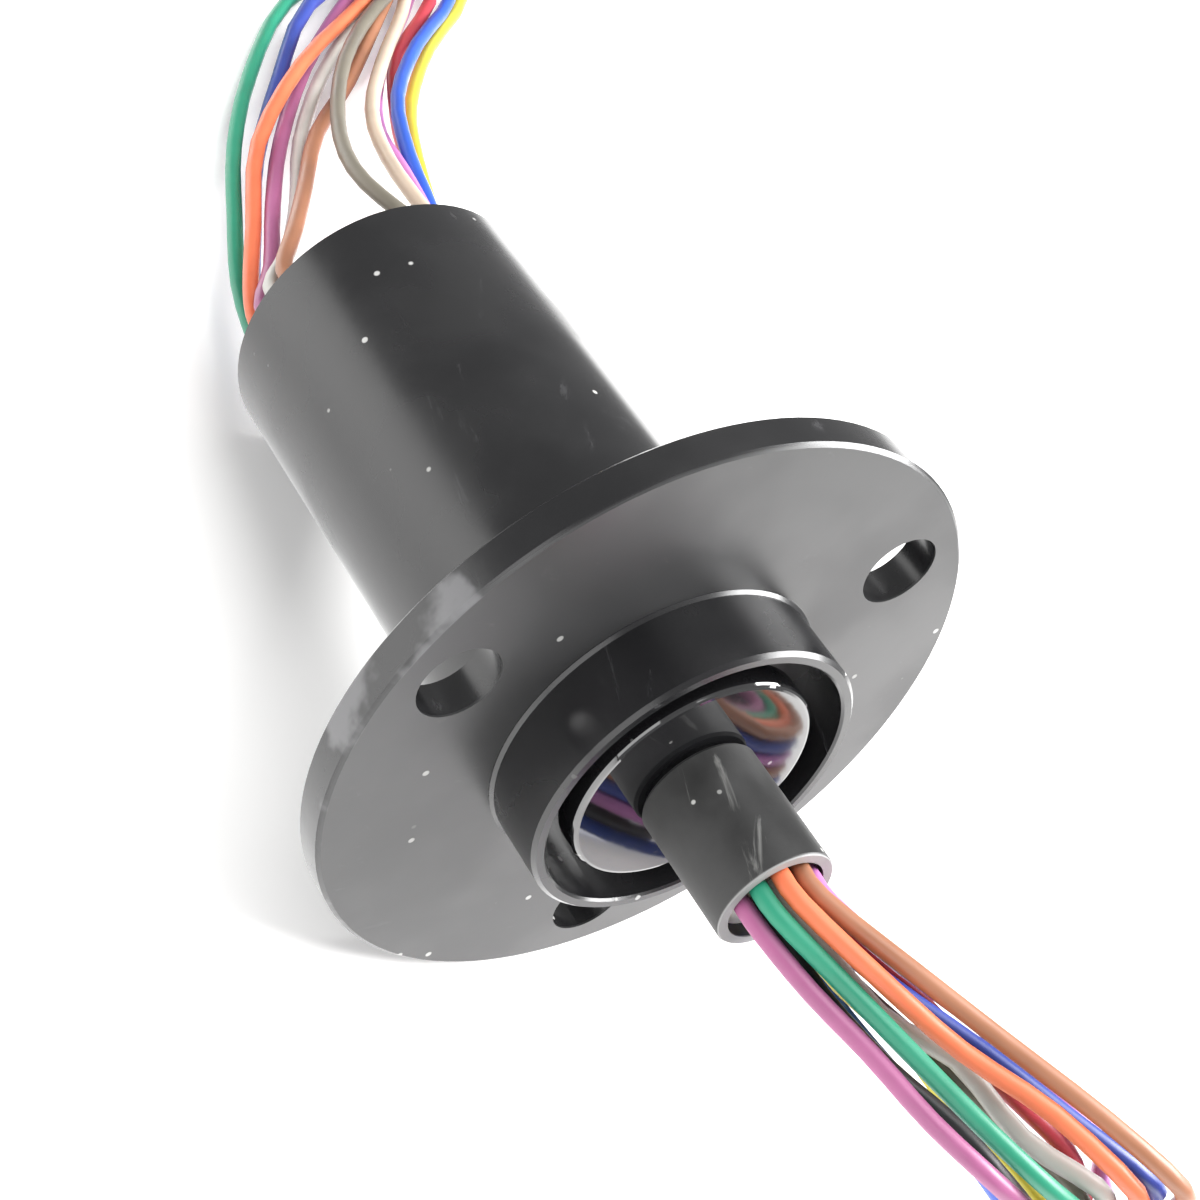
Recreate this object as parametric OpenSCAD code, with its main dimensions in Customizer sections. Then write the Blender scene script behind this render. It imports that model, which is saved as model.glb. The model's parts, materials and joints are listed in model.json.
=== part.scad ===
// Flanged capsule slip ring with twelve circuits.
// The part lies on its flange rim and the rear edge of its barrel, spin axis rising towards +X.
// Millimetres, +Z up, origin on the bench under the middle of the metal and plastic parts.

/* [Housing] */
// Outside diameter of the mounting flange
flange_d = 44.5; // [40:0.5:60]
// Thickness of the mounting flange
flange_t = 2.5; // [1.5:0.1:5]
// Outside diameter of the rear barrel
barrel_d = 21.8; // [21:0.1:30]
// Length of the barrel behind the flange
barrel_len = 36; // [30:0.5:60]
// Outside diameter of the short boss in front of the flange
boss_d = 22.1; // [21.5:0.1:30]
// Height of the boss above the flange face
boss_h = 5.1; // [3:0.1:10]
// Diameter of the open mouth in the boss
mouth_d = 20.3; // [18:0.1:21]
// Diameter of the housing's main bore
main_bore_d = 19; // [18:0.1:20]
// Diameter of the hole in the inner lip that keeps the front bearing in
lip_hole_d = 14; // [13:0.5:16]

/* [Flange bolts] */
// Number of flange bolt holes
bolt_count = 3; // [3:1:4]
// Diameter of one bolt hole
bolt_d = 5.3; // [3:0.1:6]
// Diameter of the circle that the bolt holes lie on
bolt_circle_d = 35.5; // [30:0.5:50]
// Turn of the first bolt hole from straight down
bolt_turn = 25; // [0:1:119]

/* [Rotor] */
// Outside diameter of the hollow stem that the leads come out of
stem_d = 6.4; // [5:0.1:8]
// Diameter of the lead bore through the stem and ring seat
stem_bore_d = 5.2; // [4:0.1:6]
// Diameter of the glossy cap disc
cap_d = 16.5; // [12:0.1:19]
// Thickness of the cap disc
cap_t = 2; // [1:0.1:3]
// Outside diameter of the shrink sleeve on the stem
sleeve_d = 7.8; // [7:0.1:9]
// Length of the shrink sleeve
sleeve_len = 8.8; // [5:0.1:15]
// Diameter of the seat that carries the contact rings
seat_d = 8; // [7:0.1:9]

/* [Contacts] */
// Number of contact rings and circuits
circuits = 12; // [4:1:12]
// Distance from one contact ring to the next
ring_pitch = 1.8; // [1.5:0.1:2]
// Width of one contact ring
ring_w = 1; // [0.6:0.1:1.2]
// Outside diameter of one contact ring
ring_d = 9.6; // [9:0.1:10]
// Outside diameter of the insulating spacers between the rings
spacer_d = 10.4; // [10:0.1:11]
// Diameter of the brush wire
wire_d = 0.3; // [0.2:0.05:0.5]
// Distance from the spin axis to the inner face of a brush board
board_gap = 6.6; // [6:0.1:7]
// Width of a brush board
board_w = 8; // [6:0.5:8]
// Thickness of a brush board
board_t = 1; // [0.6:0.1:1.6]

/* [Leads] */
// Outside diameter of one insulated lead
lead_d = 1.2; // [0.8:0.1:1.4]
// Pitch of the leads where they lie side by side in a bundle
lead_pitch = 1.25; // [1.2:0.01:1.5]
// Outer bend radius of a coil of leads, at the middle of the bundle
coil_r = 12; // [12:1:20]

/* [Hidden] */
$fn = 96;
// Tilt of the spin axis, set by the flange rim and the barrel edge both touching the bench
rim_chamfer = 0.2;
barrel_chamfer = 0.4;
rim_r = flange_d / 2;
barrel_r = barrel_d / 2;
lean = atan2(rim_r - barrel_r, barrel_len - barrel_chamfer + rim_chamfer);
// Height of the axis where it passes the flange's rear face
axis_h = rim_r * cos(lean) - rim_chamfer * sin(lean);
sleeve_z = 7.6;
sleeve_end = sleeve_z + sleeve_len;
tip_x = sleeve_end * cos(lean) + sleeve_d / 2 * sin(lean);
tail_x = barrel_len * cos(lean) + barrel_r * sin(lean);
axis_x = (tail_x - tip_x) / 2;

// Places along the spin axis, measured from the flange's rear face
boss_z = flange_t + boss_h;
lip_z = 3;
lip_t = 0.8;
bearing_w = 5;
front_brg_z = lip_z - bearing_w;
collar_z = 5.3;
stem_z = 14.4;
frame_z = front_brg_z;
hub_front = -26;
hub_lip = 0.5;
rear_brg_z = hub_front - hub_lip - bearing_w;
journal_z = -33;
cap_recess = 0.4;
rear_cap_t = 1.6;
rear_cap_z = -barrel_len + cap_recess;
frame_end = rear_cap_z + rear_cap_t;
first_ring = -5;
clip_z = -32.1;
clip_t = 0.5;

// Bearings: bore, outside diameter, ball diameter and ball count
front_brg = [10, 19, 2.4, 10];
rear_brg = [6, 13, 1.6, 8];

// Angles of the two brush boards round the axis, from straight down
board_turns = [110, 290];
// Half the angle of the slots that the stator leads leave through
slot_half = 33;
root_r = 8.3;
root_start = -35;
glue_t = 1;
mouth_start = 15.8;

// Rotor leads: turn and radius in the mouth of the stem
mouth_places = [[284, 2.45], [250, 2.45], [215, 2.45], [178, 2.45], [300, 1.05], [210, 1.05],
    [138, 1.05], [76, 2.45], [144, 2.45], [110, 2.45], [66, 1.05], [42, 2.45]];
// Rotor leads: turn and radius further down, in the bore
bore_places = [[320, 1.98], [275, 1.98], [230, 1.98], [185, 1.98], [342.5, 0.85], [252.5, 0.85],
    [162.5, 0.85], [50, 1.98], [140, 1.98], [95, 1.98], [72.5, 0.85], [5, 1.98]];
// Rotor leads: the contact ring that each one is joined to
ring_of_lead = [0, 1, 2, 3, 8, 9, 10, 4, 5, 6, 11, 7];
// Stator leads: turn round the axis in the rear cap
exit_turns = [284, 306, 295, 262, 126, 273, 317, 137, 115, 93, 82, 104];
// Column and row of each lead in its bundle
rotor_cells = [[3, 2], [2, 2], [1, 2], [0, 2], [3, 1], [1, 1],
    [0, 1], [2, 1], [0, 0], [1, 0], [2, 0], [3, 0]];
stator_cells = [[1, 1], [0, 1], [1, 2], [1, 0], [2, 1], [0, 0],
    [0, 2], [2, 2], [2, 0], [3, 1], [3, 0], [3, 2]];

// Colours of the leads, rotor side and stator side
violet = [0.72, 0.42, 0.62];
green = [0.2, 0.62, 0.5];
orange = [0.98, 0.5, 0.38];
brown = [0.6, 0.36, 0.26];
black = [0.08, 0.08, 0.09];
white = [0.86, 0.86, 0.84];
blue = [0.26, 0.38, 0.85];
grey = [0.5, 0.48, 0.44];
pink = [0.88, 0.6, 0.86];
red = [0.85, 0.3, 0.34];
yellow = [0.95, 0.92, 0.4];
pale_blue = [0.3, 0.52, 0.95];
beige = [0.92, 0.84, 0.74];
rotor_tints = [violet, green, orange, brown, black, white, blue, grey, pink, red, yellow, pale_blue];
stator_tints = [violet, green, orange, brown, beige, white, blue, grey, pink, red, yellow, pale_blue];

// Coils: each turn lies on the one before it, and the rotor's is wound from the top down
lead_gap = 0.1;
coil_lift = 0.4;
coil_h = 2 * lead_pitch + lead_d;
coil_band = 3 * lead_pitch + lead_d;
coil_rise = 3 * lead_pitch;
coil_outer = coil_r + coil_band / 2;
coil_inner = coil_r - coil_band / 2;
coil_low = coil_lift + coil_h / 2;
rotor_turns = 2.85;
stator_turns = 2.45;
rotor_coil_z = coil_low + coil_rise * rotor_turns;
// Middle of each bundle and its heading, up to the coil
rotor_bundle = [[[49.3, 35.5, 16.3], [-0.03, 0.78, -0.62]],
    [[48.7, 40, 14.2], [0, 0.94, -0.34]], [[48.5, 45, rotor_coil_z], [0, 1, 0]]];
stator_bundle = [[[-85.5, 34.2, coil_low], [-0.88, 0.47, 0]],
    [[-92.5, 36, coil_low], [-0.98, 0.2, 0]], [[-99.5, 36, coil_low], [-1, 0, 0]]];
rotor_coil_mid = [48.5 + coil_r, 45];
stator_coil_mid = [-99.5, 36 - coil_r];

// Free way of each rotor lead from the stem to its bundle
rotor_ways = [
    // violet
    [[32, -1, 27], [36, 1, 28], [40.5, 3, 29], [44.5, 6.5, 29.5],
     [47, 15, 26.5], [49, 22.5, 23.5], [50.5, 30, 20.5]],
    // green
    [[32, 0, 28.5], [36.5, 2.5, 29.5], [41.5, 5.5, 30.5], [45.5, 10, 30.5],
     [47.5, 17.5, 28], [49, 24.5, 24.5], [49.5, 32, 21.5]],
    // orange
    [[32.5, 1.5, 30], [37, 6, 30.5], [41.5, 10.5, 32], [46.5, 16, 32],
     [47.5, 21, 28.5], [48, 26.5, 25], [48, 32.5, 21]],
    // brown
    [[32.5, 3.5, 31], [37, 8, 32], [42.5, 13, 33.5], [47, 18.5, 33.5],
     [47.5, 23.5, 30], [47.5, 28.5, 25.5], [47, 34.5, 21.5]],
    // black
    [[32, 0.5, 26.5], [36.5, 3.5, 27], [40.5, 6.5, 28], [44, 9.5, 28],
     [46.5, 16.5, 25], [48, 23.5, 21.5], [50, 30, 19]],
    // white
    [[34, 2.5, 28.5], [37, 7.5, 29], [42, 10.5, 29.5], [45.5, 15.5, 30],
     [46.5, 21, 27], [46.5, 26, 23.5], [47.5, 31.5, 19.5]],
    // blue
    [[32, 4, 28.5], [37, 9, 30], [41.5, 13.5, 31], [46, 19, 31.5],
     [46.5, 23.5, 28.5], [46.5, 28.5, 24.5], [46.5, 33, 20.5]],
    // grey
    [[31.5, 4, 26.5], [36.5, 8, 27.5], [41, 11, 28.5], [45, 15.5, 28.5],
     [47, 20.5, 25.5], [48.5, 26, 22.5], [49, 32, 20]],
    // pink
    [[31.5, 5, 29.5], [35.5, 10, 30], [39.5, 14.5, 30], [43, 19.5, 29],
     [44, 23.5, 26], [45.5, 28, 23], [45, 32.5, 18.5]],
    // red
    [[31, 5.5, 28], [35.5, 9, 28.5], [39.5, 13, 28.5], [42.5, 18, 27.5],
     [44.5, 22.5, 25], [45, 27, 22], [47, 30, 19]],
    // yellow
    [[31.5, 2, 27], [35.5, 5.5, 27.5], [39.5, 9, 27], [43, 13.5, 26.5],
     [45, 19.5, 24], [47, 25, 21.5], [48.5, 30.5, 19]],
    // cyan
    [[31.5, 2.5, 25.5], [35, 5, 25.5], [38.5, 8, 25.5], [42, 12, 25],
     [45, 18, 22.5], [47.5, 24.5, 20], [50, 30, 17]]
];

// Free way of each stator lead from the rear cap to its bundle
stator_ways = [
    // violet
    [[-30, -5.5, 7], [-37, -2.5, 6], [-46, 2.5, 4], [-57, 9.5, 2.5],
     [-68.5, 18.5, 1.5], [-77.5, 26.5, 2]],
    // green
    [[-30.5, -6, 4], [-37.5, -4, 3.5], [-45.5, -1, 2.5], [-55, 4, 1.5],
     [-66, 11.5, 1], [-76.5, 23.5, 1.5]],
    // orange
    [[-28.5, -7, 6], [-35, -4.5, 5.5], [-44.5, -0.5, 4.5], [-55, 7, 4.5],
     [-66.5, 18, 2.5], [-75.5, 26, 3]],
    // brown
    [[-31, -5.5, 10], [-37, -1.5, 8.5], [-46, 4.5, 6], [-55.5, 12.5, 4],
     [-67.5, 21.5, 2], [-76.5, 28, 1]],
    // beige
    [[-34.5, 6, 12.5], [-42, 7.5, 9.5], [-49.5, 10.5, 7], [-59, 17, 4.5],
     [-69.5, 25, 2], [-77.5, 29, 2.5]],
    // white
    [[-30.5, -5, 8.5], [-37, -1, 7], [-46, 4, 4.5], [-56.5, 11, 2.5],
     [-68.5, 20.5, 1], [-77.5, 27, 0.7]],
    // blue1
    [[-30, -4.5, 3.5], [-36.5, -2.5, 3.5], [-44.5, 0.5, 3], [-54.5, 6, 2.5],
     [-65.5, 13, 2], [-76, 24.5, 3]],
    // taupe
    [[-32.5, 2, 13.5], [-38, 1.5, 11], [-46, 5, 8], [-56, 11, 5.5],
     [-67, 20, 3], [-76, 28.5, 4]],
    // pink
    [[-36, 8, 11], [-42.5, 10, 8.5], [-49, 12.5, 5.5], [-56, 16.5, 3],
     [-64, 22, 1], [-74.5, 29, 0.7]],
    // red
    [[-37.5, 11.5, 8], [-46, 13.5, 6.5], [-53, 16.5, 4.5], [-62.5, 21.5, 2.5],
     [-72.5, 29.5, 2], [-78.5, 31.5, 2]],
    // yellow
    [[-38.5, 13.5, 7], [-47.5, 16, 5.5], [-56, 20, 3.5], [-66, 27, 2],
     [-76.5, 36, 1], [-80.5, 34, 0.7]],
    // blue2
    [[-37, 10, 10], [-45, 12, 8], [-53.5, 15.5, 6], [-63.5, 23, 4],
     [-74, 32.5, 2], [-79, 32.5, 3.5]]
];

// ---- shared shapes ----

// Puts children in the spin frame: +Z along the axis to the stem, +X straight down when unrolled
module on_axis() {
    translate([axis_x, 0, axis_h])
        rotate([0, 90 - lean, 0])
            children();
}

// Solid of revolution from a list of radius and height pairs
module turned(points) {
    rotate_extrude()
        polygon(points);
}

// Plain ring between two radii
module ring(inner, outer, z, h) {
    turned([[inner, z], [outer, z], [outer, z + h], [inner, z + h]]);
}

// Part of a ring, centred on one turn round the axis
module arc_block(inner, outer, z, h, turn, half) {
    rotate([0, 0, turn - half])
        rotate_extrude(angle = 2 * half)
            translate([inner, z])
                square([outer - inner, h]);
}

// Straight round wire between two points
module wire(a, b, d) {
    run = b - a;
    translate(a)
        rotate([0, acos(run[2] / norm(run)), atan2(run[1], run[0])])
            cylinder(h = norm(run), d = d, $fn = 6);
}

function unit(v) = v / norm(v);
function round_axis(turn, r, z) = [r * cos(turn), r * sin(turn), z];
// Same turn as on_axis(), for a point instead of a solid
function to_bench(p) = [axis_x + p[0] * sin(lean) + p[2] * cos(lean),
    p[1], axis_h - p[0] * cos(lean) + p[2] * sin(lean)];

// Catmull-Rom curve through every point of a way, with a number of steps per span
function way_point(w, i) = i < 0 ? 2 * w[0] - w[1]
    : i >= len(w) ? 2 * w[len(w) - 1] - w[len(w) - 2]
    : w[i];
function span_point(a, b, c, d, t) = 0.5 * (2 * b + (c - a) * t
    + (2 * a - 5 * b + 4 * c - d) * t * t + (3 * b - a - 3 * c + d) * t * t * t);
function smooth_way(w, steps) = [
    for (i = [0 : len(w) - 2], s = [0 : steps - 1])
        span_point(way_point(w, i - 1), w[i], w[i + 1], way_point(w, i + 2), s / steps),
    w[len(w) - 1]];

// Round tube swept along a line of points; d is one diameter or a list, one for each point
function heading(p, i) = unit(p[min(i + 1, len(p) - 1)] - p[max(i - 1, 0)]);
function side_of(h, ref) = unit(cross(h, ref));
function tube_ring(c, h, r, n, ref) = [
    for (k = [0 : n - 1])
        let (s = side_of(h, ref), u = cross(s, h), a = 360 * k / n)
            c + r * (s * cos(a) + u * sin(a))];
module tube(p, d, n = 8, ref = [0, 0, 1]) {
    last = len(p) - 1;
    skin = [
        for (i = [0 : last])
            each tube_ring(p[i], heading(p, i), (is_list(d) ? d[i] : d) / 2, n, ref)];
    sides = [
        for (i = [0 : last - 1], k = [0 : n - 1])
            let (m = (k + 1) % n)
                each [[i * n + k, (i + 1) * n + m, i * n + m],
                    [i * n + k, (i + 1) * n + k, (i + 1) * n + m]]];
    ends = [[for (k = [0 : n - 1]) k], [for (k = [n - 1 : -1 : 0]) last * n + k]];
    polyhedron(skin, concat(sides, ends));
}

// Place of one lead in a bundle, by its column and row
function in_bundle(mid, h, cell) =
    let (f = unit(h), s = side_of(f, [0, 0, 1]), u = cross(s, f))
        mid + s * (cell[0] - 1.5) * lead_pitch + u * (cell[1] - 1) * lead_pitch;
function bundle_way(bundle, cell) = [for (b = bundle) in_bundle(b[0], b[1], cell)];

// ---- bearings ----

// Outer race with its ball groove
module outer_race(brg, z) {
    pitch_r = (brg[0] + brg[1]) / 4;
    ball_r = brg[2] / 2;
    land = pitch_r + ball_r * 0.62;
    mid = z + bearing_w / 2;
    color([0.75, 0.76, 0.78])
        difference() {
            ring(land, brg[1] / 2, z, bearing_w);
            rotate_extrude()
                translate([pitch_r, mid])
                    circle(r = ball_r + 0.05, $fn = 24);
        }
}

// Inner race with its ball groove
module inner_race(brg, z) {
    pitch_r = (brg[0] + brg[1]) / 4;
    ball_r = brg[2] / 2;
    land = pitch_r - ball_r * 0.62;
    mid = z + bearing_w / 2;
    color([0.75, 0.76, 0.78])
        difference() {
            ring(brg[0] / 2, land, z, bearing_w);
            rotate_extrude()
                translate([pitch_r, mid])
                    circle(r = ball_r + 0.05, $fn = 24);
        }
}

// Ring of balls
module balls(brg, z) {
    pitch_r = (brg[0] + brg[1]) / 4;
    for (k = [0 : brg[3] - 1])
        rotate([0, 0, 360 * k / brg[3]])
            translate([pitch_r, 0, z + bearing_w / 2])
                sphere(d = brg[2], $fn = 14);
}

// Ball cage: a thin ring with a round pocket for each ball
module ball_cage(brg, z) {
    pitch_r = (brg[0] + brg[1]) / 4;
    half_t = brg[2] * 0.17;
    half_h = brg[2] / 2 + 0.5;
    color([0.78, 0.7, 0.5])
        difference() {
            ring(pitch_r - half_t, pitch_r + half_t, z + bearing_w / 2 - half_h, 2 * half_h);
            for (k = [0 : brg[3] - 1])
                rotate([0, 90, 360 * k / brg[3]])
                    translate([-z - bearing_w / 2, 0, pitch_r - 1])
                        cylinder(h = 2, d = brg[2] + 0.2, $fn = 20);
        }
}

// ---- stator ----

// Moulded housing: barrel, flange and boss in one piece
module housing() {
    lip = lip_hole_d / 2;
    bore = main_bore_d / 2;
    mouth = mouth_d / 2;
    boss = boss_d / 2;
    color([0.1, 0.1, 0.11])
        on_axis()
            difference() {
                turned([
                    [bore, -barrel_len], [barrel_r - barrel_chamfer, -barrel_len],
                    [barrel_r, -barrel_len + barrel_chamfer], [barrel_r, -0.3],
                    [barrel_r + 0.3, 0], [rim_r - rim_chamfer, 0], [rim_r, rim_chamfer],
                    [rim_r, flange_t - 0.25], [rim_r - 0.25, flange_t],
                    [boss + 0.2, flange_t], [boss, flange_t + 0.2],
                    [boss, boss_z - 0.25], [boss - 0.25, boss_z],
                    [mouth + 0.15, boss_z], [mouth, boss_z - 0.15],
                    [mouth, lip_z + lip_t], [lip, lip_z + lip_t], [lip, lip_z], [bore, lip_z]]);
                for (k = [0 : bolt_count - 1])
                    rotate([0, 0, bolt_turn + 360 * k / bolt_count])
                        translate([bolt_circle_d / 2, 0, -1])
                            cylinder(h = flange_t + 2, d = bolt_d, $fn = 48);
            }
}

module front_outer_race() {
    on_axis()
        outer_race(front_brg, front_brg_z);
}

module rear_outer_race() {
    on_axis()
        outer_race(rear_brg, rear_brg_z);
}

module front_balls() {
    color([0.85, 0.86, 0.88])
        on_axis()
            balls(front_brg, front_brg_z);
}

module front_ball_cage() {
    on_axis()
        ball_cage(front_brg, front_brg_z);
}

module rear_balls() {
    color([0.85, 0.86, 0.88])
        on_axis()
            balls(rear_brg, rear_brg_z);
}

module rear_ball_cage() {
    on_axis()
        ball_cage(rear_brg, rear_brg_z);
}

// Moulded frame: holds both boards and the rear bearing inside the barrel
module brush_frame() {
    hub_r = rear_brg[1] / 2;
    skirt = 8;
    color([0.2, 0.2, 0.22])
        on_axis()
            difference() {
                turned([
                    [hub_r, rear_brg_z], [hub_r, hub_front - hub_lip],
                    [5.6, hub_front - hub_lip], [5.6, hub_front], [skirt, hub_front],
                    [skirt, frame_z - 1.2], [6.9, frame_z - 1.2], [6.9, frame_z],
                    [9.4, frame_z], [9.4, frame_end], [skirt, frame_end], [skirt, rear_brg_z]]);
                for (turn = board_turns)
                    arc_block(hub_r + 1.05, 10, frame_end - 1, frame_z - frame_end - 0.2,
                        turn, slot_half);
            }
}

// Brush board, with a row of plated holes
module brush_board(turn) {
    z = hub_front;
    length = frame_z - 1.2 - hub_front;
    color([0.1, 0.4, 0.25])
        on_axis()
            rotate([0, 0, turn])
                difference() {
                    translate([board_gap, -board_w / 2, z])
                        cube([board_t, board_w, length]);
                    for (k = [0 : circuits / 2 - 1])
                        translate([board_gap - 1, board_w / 2 - 1, z + 3 + 3.4 * k])
                            rotate([0, 90, 0])
                                cylinder(h = board_t + 2, d = 0.8, $fn = 10);
                }
}

// Hairpin wires of one board: both legs run along the sides of every second ring
module brush_wires(turn, start) {
    touch = ring_d / 2 - 0.2 + wire_d / 2 + 0.03;
    foot = [board_gap - wire_d / 2, 3.3];
    reach = norm(foot);
    bend = atan2(foot[1], foot[0]) + acos(touch / reach);
    run = unit([touch * cos(bend), touch * sin(bend)] - foot);
    tip = foot + run * (sqrt(reach * reach - touch * touch) + 1.6);
    color([0.95, 0.78, 0.35])
        on_axis()
            rotate([0, 0, turn])
                for (i = [start : 2 : circuits - 1]) {
                    z = first_ring - ring_pitch * i;
                    wire([foot[0], -foot[1], z], [foot[0], foot[1], z], wire_d);
                    wire([foot[0], foot[1], z], [tip[0], tip[1], z], wire_d);
                    wire([foot[0], -foot[1], z], [tip[0], -tip[1], z], wire_d);
                }
}

// Recessed rear cap, with an arc slot for each group of leads
module rear_cap() {
    color([0.13, 0.13, 0.14])
        on_axis()
            difference() {
                turned([
                    [0, rear_cap_z], [9.3, rear_cap_z], [9.5, rear_cap_z + 0.2],
                    [9.5, frame_end], [0, frame_end]]);
                for (turn = board_turns)
                    arc_block(root_r - 0.7, root_r + 0.7, rear_cap_z - 1, rear_cap_t + 2,
                        turn, slot_half);
            }
}

// Stator leads inside the barrel, from the rear cap to their board
function root_place(i) =
    let (turn = exit_turns[i] > 200 ? board_turns[1] : board_turns[0],
        along = (exit_turns[i] - turn) / 11)
        [turn, along];
function root_on_board(i, z) =
    let (p = root_place(i), x = board_gap + board_t + lead_d / 2, y = p[1] * lead_pitch)
        [x * cos(p[0]) - y * sin(p[0]), x * sin(p[0]) + y * cos(p[0]), z];
module stator_lead_roots() {
    on_axis()
        for (i = [0 : circuits - 1])
            color(stator_tints[i])
                tube([
                    round_axis(exit_turns[i], root_r, root_start),
                    round_axis(exit_turns[i], root_r, -31),
                    root_on_board(i, hub_front - 0.5),
                    root_on_board(i, -23 + 3.4 * abs(root_place(i)[1] - 2.5))],
                    lead_d, 8, [-sin(exit_turns[i]), cos(exit_turns[i]), 0]);
}

// ---- rotor ----

// Moulded rotor: hollow stem, shoulder, bearing journals and ring seat
module rotor_core() {
    bore = stem_bore_d / 2;
    seat = seat_d / 2;
    stem = stem_d / 2;
    journal = front_brg[0] / 2;
    tail = rear_brg[0] / 2;
    color([0.16, 0.16, 0.17])
        on_axis()
            difference() {
                turned([
                    [0, journal_z], [tail - 0.2, journal_z], [tail, journal_z + 0.2],
                    [tail, clip_z], [tail - 0.3, clip_z], [tail - 0.3, clip_z + clip_t],
                    [tail, clip_z + clip_t], [tail, hub_front - hub_lip],
                    [seat, hub_front - hub_lip], [seat, front_brg_z - 0.2],
                    [journal, front_brg_z - 0.2], [journal, lip_z], [journal + 0.8, lip_z],
                    [journal + 0.8, collar_z], [stem, collar_z], [stem, stem_z],
                    [bore + 0.45, stem_z], [bore, stem_z - 1.8],
                    [bore, hub_front + 0.5], [0, hub_front + 0.5]]);
                for (i = [0 : circuits - 1])
                    translate([0, 0, first_ring - ring_pitch * ring_of_lead[i]])
                        rotate([0, 90, bore_places[i][0]])
                            translate([0, 0, bore - 0.3])
                                cylinder(h = seat - bore + 1, d = 0.8, $fn = 10);
            }
}

// Glossy cap disc pushed over the stem
module rotor_cap() {
    r = cap_d / 2;
    top = collar_z + cap_t;
    color([0.08, 0.08, 0.09])
        on_axis()
            turned(concat(
                [[stem_d / 2, collar_z], [r - 0.2, collar_z], [r, collar_z + 0.2]],
                [for (a = [0 : 22.5 : 90]) [r - 0.4 + 0.4 * cos(a), top - 0.4 + 0.4 * sin(a)]],
                [[stem_d / 2, top]]));
}

module front_inner_race() {
    on_axis()
        inner_race(front_brg, front_brg_z);
}

module rear_inner_race() {
    on_axis()
        inner_race(rear_brg, rear_brg_z);
}

// Open retaining clip in the groove behind the rear bearing
module rotor_clip() {
    color([0.6, 0.61, 0.63])
        on_axis()
            rotate([0, 0, 40])
                rotate_extrude(angle = 280)
                    translate([rear_brg[0] / 2 - 0.3, clip_z])
                        square([1.3, clip_t]);
}

// Contact rings with a V-groove for the wires
module contact_rings() {
    r = ring_d / 2;
    seat = seat_d / 2;
    half = ring_w / 2;
    color([0.93, 0.76, 0.33])
        on_axis()
            for (i = [0 : circuits - 1])
                translate([0, 0, first_ring - ring_pitch * i])
                    rotate_extrude($fn = 40)
                        polygon([[seat, -half], [r, -half], [r - 0.2, 0], [r, half], [seat, half]]);
}

// Insulating spacers between the rings and at both ends of the stack
module ring_spacers() {
    seat = seat_d / 2;
    r = spacer_d / 2;
    half = ring_w / 2;
    last = first_ring - ring_pitch * (circuits - 1);
    color([0.3, 0.3, 0.32])
        on_axis() {
            for (i = [0 : circuits - 2])
                translate([0, 0, first_ring - ring_pitch * (i + 1) + half])
                    rotate_extrude($fn = 40)
                        translate([seat, 0])
                            square([r - seat, ring_pitch - ring_w]);
            ring(seat, r, first_ring + half, front_brg_z - 0.2 - first_ring - half);
            ring(seat, r, hub_front - hub_lip, last - half - hub_front + hub_lip);
        }
}

// Shrink sleeve: tight on the stem, open and slightly drawn in at its mouth
module stem_sleeve() {
    inner = stem_d / 2;
    outer = sleeve_d / 2;
    color([0.12, 0.12, 0.12])
        on_axis()
            turned([
                [inner, sleeve_z], [outer - 0.15, sleeve_z], [outer, sleeve_z + 0.2],
                [outer, sleeve_end - 0.15], [outer - 0.1, sleeve_end], [inner, sleeve_end]]);
}

// Plug of glue that pots the leads in the mouth of the stem
module stem_glue() {
    color([0.85, 0.84, 0.8])
        on_axis()
            difference() {
                cylinder_from(stem_z, glue_t, stem_d / 2);
                for (p = mouth_places)
                    translate(round_axis(p[0], p[1], stem_z - 1))
                        cylinder(h = glue_t + 2, d = lead_d, $fn = 12);
            }
}

// Plain disc standing on a given height
module cylinder_from(z, h, r) {
    translate([0, 0, z])
        cylinder(h = h, r = r, $fn = 48);
}

// Rotor leads inside the stem: potted ends, and bare cores that run down to their rings
module rotor_lead_roots() {
    core_d = 0.5;
    on_axis()
        for (i = [0 : circuits - 1]) {
            m = mouth_places[i];
            b = bore_places[i];
            z = first_ring - ring_pitch * ring_of_lead[i];
            color(rotor_tints[i])
                tube([
                    round_axis(m[0], m[1], mouth_start), round_axis(m[0], m[1], stem_z),
                    round_axis(m[0], m[1], stem_z - 0.1), round_axis(b[0], b[1], stem_z - 3),
                    round_axis(b[0], b[1], z + 0.6), round_axis(b[0], b[1] + 0.2, z + 0.15),
                    round_axis(b[0], b[1] + 0.6, z), round_axis(b[0], seat_d / 2, z)],
                    [lead_d, lead_d, core_d, core_d, core_d, core_d, core_d, core_d],
                    8, [-sin(b[0]), cos(b[0]), 0]);
        }
}

// ---- leads and coils ----

// Free stretch of one rotor lead: straight out of the stem, then over to its bundle
module rotor_lead(i) {
    m = mouth_places[i];
    start = [for (z = [mouth_start + lead_gap, mouth_start + 2.6])
        to_bench(round_axis(m[0], m[1], z))];
    color(rotor_tints[i])
        tube(smooth_way(concat(start, rotor_ways[i], bundle_way(rotor_bundle, rotor_cells[i])), 2),
            lead_d);
}

// Free stretch of one stator lead: straight out of the rear cap, then down to the bench
module stator_lead(i) {
    start = [for (z = [root_start - lead_gap, root_start - 3.5])
        to_bench(round_axis(exit_turns[i], root_r, z))];
    color(stator_tints[i])
        tube(smooth_way(concat(start, stator_ways[i], bundle_way(stator_bundle, stator_cells[i])), 2),
            lead_d);
}

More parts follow.
